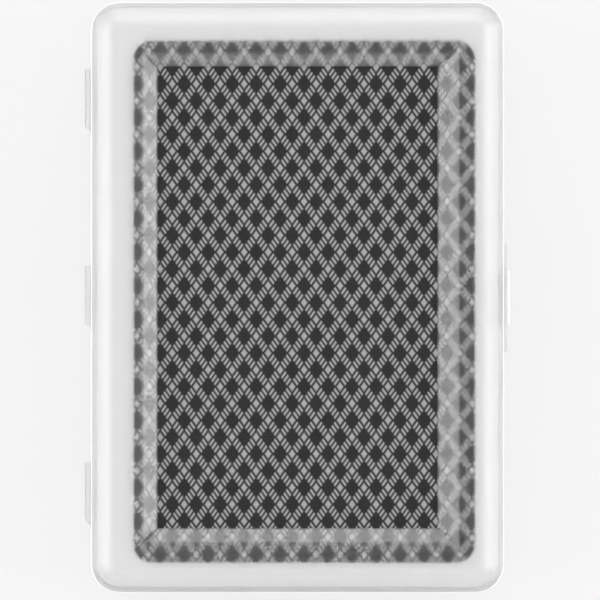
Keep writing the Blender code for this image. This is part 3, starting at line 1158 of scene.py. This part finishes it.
@dataclass
class LidShell:
    """The shallow half: a bevelled rim, a flat ring, a mitred slope and a sunk window over the top card."""

    sizes: CaseSizes
    panel_inset: tuple[float, float, float, float] = (11.0, 11.0, 10.65, 10.65)
    panel_depth: float = 2.0
    slope_width: tuple[float, float, float, float] = (4.3, 3.8, 4.3, 4.3)
    crease_depth: float = 0.5
    crease_offsets: tuple[float, float, float, float] = (2.5, 2.85, 2.4, 2.2)
    crease_ease: float = 0.45
    panel_ease: float = 0.5
    shoulder_ease: float = 0.95
    brow_ease: float = 0.15
    slope_tilt: tuple[float, float] = (0.25, 0.95)
    bevel_tilt: tuple[float, float] = (0.05, 0.99)

    def levels(self) -> list[Outline]:
        """Works out the levels from the window's top out over the rim and back to its underside.

        Returns:
            The levels in order.
        """
        s = self.sizes
        roof_inset, wall_drop = s.inner_bevel(s.lid_skin)
        rim = s.parting + s.rim_gap / 2
        rebate = rim + s.lap_height + s.lap_clearance
        top, under = s.height, s.height - s.lid_skin
        panel = self.panel_inset
        crease = tuple(a - b for a, b in zip(panel, self.crease_offsets))
        slope = tuple(a - b for a, b in zip(panel, self.slope_width))
        flat = tuple(a + self.panel_ease for a in panel)
        return [
            Outline(flat, top - self.panel_depth),
            Outline(panel, top - self.panel_depth, s.soft_edge),
            Outline(crease, top - self.crease_depth, self.crease_ease),
            Outline(slope, top, self.panel_ease),
            even(s.bevel_width, top, self.shoulder_ease),
            even(0, top - s.bevel_height, self.brow_ease),
            even(0, rim, s.soft_edge),
            even(s.lap_inset, rim),
            even(s.lap_inset, rebate),
            even(s.wall, rebate),
            even(s.wall, top - wall_drop, s.bevel_ease),
            even(roof_inset, under, s.bevel_ease),
            Outline(slope, under, self.panel_ease),
            Outline(crease, under - self.crease_depth, self.crease_ease),
            Outline(panel, under - self.panel_depth, s.soft_edge),
            Outline(flat, under - self.panel_depth),
        ]

    def build(self, finishes: dict[str, bpy.types.Material]) -> bpy.types.Object:
        """Models and dresses the lid.

        Args:
            finishes: The materials by name.

        Returns:
            The piece.
        """
        piece = self.sizes.loft("lid_shell", self.levels())
        join_solid(piece, LatchPads(self.sizes).lid_pad())
        finish_mesh(piece)
        names = ("frosted", "window", "slope", "wall", "bevel", "edge", "lip")
        paint(piece, [finishes[name] for name in names], self.zone)
        return piece

    def zone(self, face: bpy.types.MeshPolygon) -> int:
        """The material slot of a face.

        Args:
            face: A face of the lid.

        Returns:
            0 on the ring, 1 in the window, 2 on the slope, 3 on the walls, 4 on the bevel, 5 on its outer
            part, where the wall below is seen edge on, and 6 on the latch pad's upper side.
        """
        s = self.sizes
        x, y, z = (value / MM for value in face.center)
        inset = s.inset_of(x, y)
        if x > (s.width + s.rim_gap) / 2:
            return 6 if face.normal.z > s.up else 3
        if abs(x) < s.width / 2 - self.panel_inset[0] and abs(y) < s.length / 2 - self.panel_inset[2]:
            return 1
        low, high = self.slope_tilt
        if inset > s.bevel_width + 2 * s.bevel_ease and low < abs(face.normal.z) < high:
            return 2
        low, high = self.bevel_tilt
        shoulder = inset < s.bevel_width + self.shoulder_ease / 2
        if z > s.height - s.bevel_height - s.bevel_ease and low < face.normal.z < high and shoulder:
            return 5 if inset < s.wall else 4
        return 3 if abs(face.normal.z) < s.upright else 0


@dataclass
class TrayShell:
    """The deep half: floor, bevelled edges, walls and the lip that the lid closes over."""

    sizes: CaseSizes

    def levels(self) -> list[Outline]:
        """Works out the levels from the inner floor up over the rim and down to the underside.

        Returns:
            The levels in order.
        """
        s = self.sizes
        floor_inset, wall_height = s.inner_bevel(s.floor)
        rim = s.parting - s.rim_gap / 2
        lip_top = rim + s.lap_height
        lip = s.lap_inset + s.lap_clearance
        return [
            even(floor_inset + 2 * s.bevel_ease, s.floor),
            even(floor_inset, s.floor, s.bevel_ease),
            even(s.wall, wall_height, s.bevel_ease),
            even(s.wall, lip_top),
            even(lip, lip_top, s.soft_edge / 2),
            even(lip, rim),
            even(0, rim, s.soft_edge),
            even(0, s.bevel_height, s.bevel_ease),
            even(s.bevel_width, 0, s.bevel_ease),
            even(s.bevel_width + s.bevel_ease, 0),
        ]

    def build(self, finishes: dict[str, bpy.types.Material]) -> bpy.types.Object:
        """Models and dresses the tray.

        Args:
            finishes: The materials by name.

        Returns:
            The piece.
        """
        piece = self.sizes.loft("tray_shell", self.levels())
        for solid in LatchPads(self.sizes).tray_solids():
            join_solid(piece, solid)
        finish_mesh(piece)
        paint(piece, [finishes["frosted"], finishes["wall"], finishes["lip"]], self.zone)
        return piece

    def zone(self, face: bpy.types.MeshPolygon) -> int:
        """The material slot of a face.

        Args:
            face: A face of the tray.

        Returns:
            0 on the floor and its bevels, 1 on the walls and 2 on the guards' upper ends.
        """
        if face.center.x > (self.sizes.width + self.sizes.rim_gap) / 2 * MM and face.normal.z > self.sizes.up:
            return 2
        return int(abs(face.normal.z) < self.sizes.upright)


# Studio


@dataclass
class Studio:
    """A pale table, even light and a camera straight above."""

    background: str = "F5F5F5"
    plain_share: float = 0.8
    level: float = 1.0
    ceiling_low: float = 40.0
    ceiling_high: float = 68.0
    ceiling_level: float = 0.25
    lamps: tuple[tuple[str, float, float], ...] = (
        ("latch_side_lamp", 0, 4.85),
        ("hinge_side_lamp", 180, 4.35),
        ("back_lamp", 90, 3.0),
        ("front_lamp", 270, 0.8),
    )
    lamp_size: tuple[float, float] = (0.5, 0.3)
    lamp_distance: float = 0.6
    lamp_elevation: float = 24.0
    lens: float = 1000.0
    sensor: float = 36.0
    frame_mm: float = 100.0
    aim_mm: tuple[float, float] = (0.417, -0.45)
    focus_mm: float = 14.0
    clip: tuple[float, float] = (0.1, 20.0)
    table_size: float = 12.0
    table_drop_mm: float = 0.02

    def table(self) -> None:
        """Adds the table that the case lies on."""
        bpy.ops.object.select_all(action="DESELECT")
        bpy.ops.mesh.primitive_plane_add(size=self.table_size, location=metres(0, 0, -self.table_drop_mm))
        table = bpy.context.active_object
        table.name = "table"
        material, tree, shader = new_material("matt_table")
        shader.inputs["Base Color"].default_value = linear(self.background)
        shader.inputs["Roughness"].default_value = 1.0
        shader.inputs["Specular IOR Level"].default_value = 0.0
        path = add_node(tree, "ShaderNodeLightPath").outputs
        seen = {0: path["Is Camera Ray"], 1: self.plain_share}
        straight = add_node(tree, "ShaderNodeMath", seen, operation="MULTIPLY")
        bent = {0: path["Is Glossy Ray"], 1: path["Is Transmission Ray"]}
        through = add_node(tree, "ShaderNodeMath", bent, operation="MAXIMUM")
        share = add_node(tree, "ShaderNodeMath", {0: straight, 1: through}, operation="MAXIMUM")
        plain = add_node(tree, "ShaderNodeEmission", {"Color": linear(self.background), "Strength": 1.0})
        mixed = add_node(tree, "ShaderNodeMixShader", {0: share, 1: shader, 2: plain})
        tree.links.new(mixed.outputs[0], tree.nodes["Material Output"].inputs["Surface"])
        table.data.materials.append(material)

    def light(self) -> None:
        """Lights the world evenly, with the pale background behind everything."""
        world = bpy.data.worlds.new("studio")
        bpy.context.scene.world = world
        world.use_nodes = True
        tree = world.node_tree
        direction = add_node(tree, "ShaderNodeTexCoord").outputs["Generated"]
        up = add_node(tree, "ShaderNodeSeparateXYZ", {0: direction}).outputs["Z"]
        # The ceiling is darker, so that the faces that look straight up mirror less light.
        spans = {
            "Value": up,
            "From Min": math.sin(math.radians(self.ceiling_low)),
            "From Max": math.sin(math.radians(self.ceiling_high)),
            "To Min": self.level,
            "To Max": self.level * self.ceiling_level,
        }
        level = add_node(tree, "ShaderNodeMapRange", spans, interpolation_type="SMOOTHSTEP").outputs[0]
        tree.nodes["Background"].inputs["Color"].default_value = linear(self.background)
        tree.links.new(level, tree.nodes["Background"].inputs["Strength"])
        for name, azimuth, radiance in self.lamps:
            self.add_lamp(name, math.radians(azimuth), radiance)

    def add_lamp(self, name: str, azimuth: float, radiance: float) -> None:
        """Adds one soft box that faces the case.

        Args:
            name: The lamp's name.
            azimuth: Its direction from the case, counter-clockwise from +X, in radians.
            radiance: How bright its face is, where 1 is white.
        """
        data = bpy.data.lights.new(name, "AREA")
        data.shape = "RECTANGLE"
        data.size, data.size_y = self.lamp_size
        data.energy = radiance * self.level * math.pi * data.size * data.size_y
        lamp = bpy.data.objects.new(name, data)
        rise = math.radians(self.lamp_elevation)
        flat = math.cos(rise)
        away = Vector((math.cos(azimuth) * flat, math.sin(azimuth) * flat, math.sin(rise)))
        lamp.location = away * self.lamp_distance
        lamp.rotation_euler = away.to_track_quat("Z", "Y").to_euler()
        lamp.visible_camera = False
        bpy.context.scene.collection.objects.link(lamp)

    def camera(self) -> None:
        """Adds a long lens straight above the case, with the case's back edge at the top of the frame."""
        data = bpy.data.cameras.new("camera")
        data.lens, data.sensor_width = self.lens, self.sensor
        distance = self.frame_mm * MM * self.lens / self.sensor
        camera = bpy.data.objects.new("camera", data)
        camera.location = (*metres(*self.aim_mm), self.focus_mm * MM + distance)
        data.clip_start, data.clip_end = self.clip
        bpy.context.scene.collection.objects.link(camera)
        bpy.context.scene.camera = camera


def make_finishes() -> dict[str, bpy.types.Material]:
    """Makes every material of the case and its cards.

    Returns:
        The materials by the name of the place that they are for.
    """
    finishes = {
        # The ring's eroded mould scatters what lies below it into a soft haze.
        "frosted": Polypropylene("moulded_frosted_polypropylene", 0.29, 0.98, 0.01, 0.0015),
        # The polished window shows the print sharply, with hardly a veil.
        "window": Polypropylene("polished_clear_polypropylene", 0.03, 1.0, 0.01, 0.0002),
        # The satin slope blurs the print and takes a pale sheen from the side light.
        "slope": Polypropylene("moulded_satin_polypropylene", 0.286, 0.98, 0.006, 0.0002, ior=1.57),
        # Upright walls are looked at through their whole height, so they turn milky.
        "wall": Polypropylene("moulded_milky_polypropylene", 0.34, 0.82, 0.02, 0.0015),
        # The bevel is matt and spreads the side light evenly.
        "bevel": Polypropylene("moulded_matt_polypropylene", 0.4, 0.78, 0.02, 0.0015, "FAFAFA", "F7F7F7"),
        # Over the wall below it the rim is as deep as the case, so it is nearly opaque.
        "edge": Polypropylene("moulded_edge_on_polypropylene", 0.45, 0.12, 0.02, 0.0015, "FDFDFD", "FAFAFA"),
        # The latch and its pads are short blocks, a little less opaque from above.
        "lip": Polypropylene("moulded_thick_polypropylene", 0.45, 0.3, 0.02, 0.0015, "F6F6F6", "F3F3F3"),
        # The thin webs let the table through and gleam a little where they bend.
        "web": Polypropylene("moulded_thin_web_polypropylene", 0.5, 0.85, 0.02, 0.0015, "FFFFFF", "FCFCFC"),
        "back": PrintedBack(),
        "cut": CardEdge(),
        "face": CardFace("coated_card_face", False),
        "ace": CardFace("coated_card_face_with_pips", True),
    }
    return {place: finish.build() for place, finish in finishes.items()}


def dress(piece: bpy.types.Object, node: str, body: str) -> None:
    """Puts a plastic piece in the place of a CAD node and reports it.

    Args:
        piece: The finished piece.
        node: The node that it stands for.
        body: The body that it moves with.
    """
    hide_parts(node)
    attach(piece, body)
    LOG.info("%s: %d faces, rides on %s", piece.name, len(piece.data.polygons), body)


def main() -> None:
    """Builds each part of the case in turn and reports it."""
    logging.basicConfig(level=logging.INFO, format="%(message)s")
    sizes = CaseSizes()
    finishes = make_finishes()
    dress(LidShell(sizes).build(finishes), "lid", "lid")
    dress(TrayShell(sizes).build(finishes), "base_tray", "tray")
    dress(LatchTongue(sizes).build(finishes), "latch_tongue", "latch")
    for name, thirds in (("front", -1), ("middle", 0), ("back", 1)):
        strap = HingeStrap(sizes, name, thirds * sizes.length / 3)
        web = strap.build(finishes)
        edge, rise = -sizes.width / 2, strap.reach - strap.wall_gap
        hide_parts(f"{name}_hinge_strap")
        metres(edge, strap.middle, sizes.parting - rise)
        metres(edge, strap.middle, sizes.parting + rise)
        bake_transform(web)
        LOG.info("%s: %d faces, bends from the tray to the lid", web.name, len(web.data.polygons))
    cards = Deck().build(finishes)
    LOG.info("deck: %d cards of %d faces", len(cards), len(cards[0].data.polygons))
    studio = Studio()
    studio.table()
    studio.light()
    studio.camera()
    bpy.context.scene.view_settings.view_transform = "Standard"


if __name__ == "__main__":
    main()
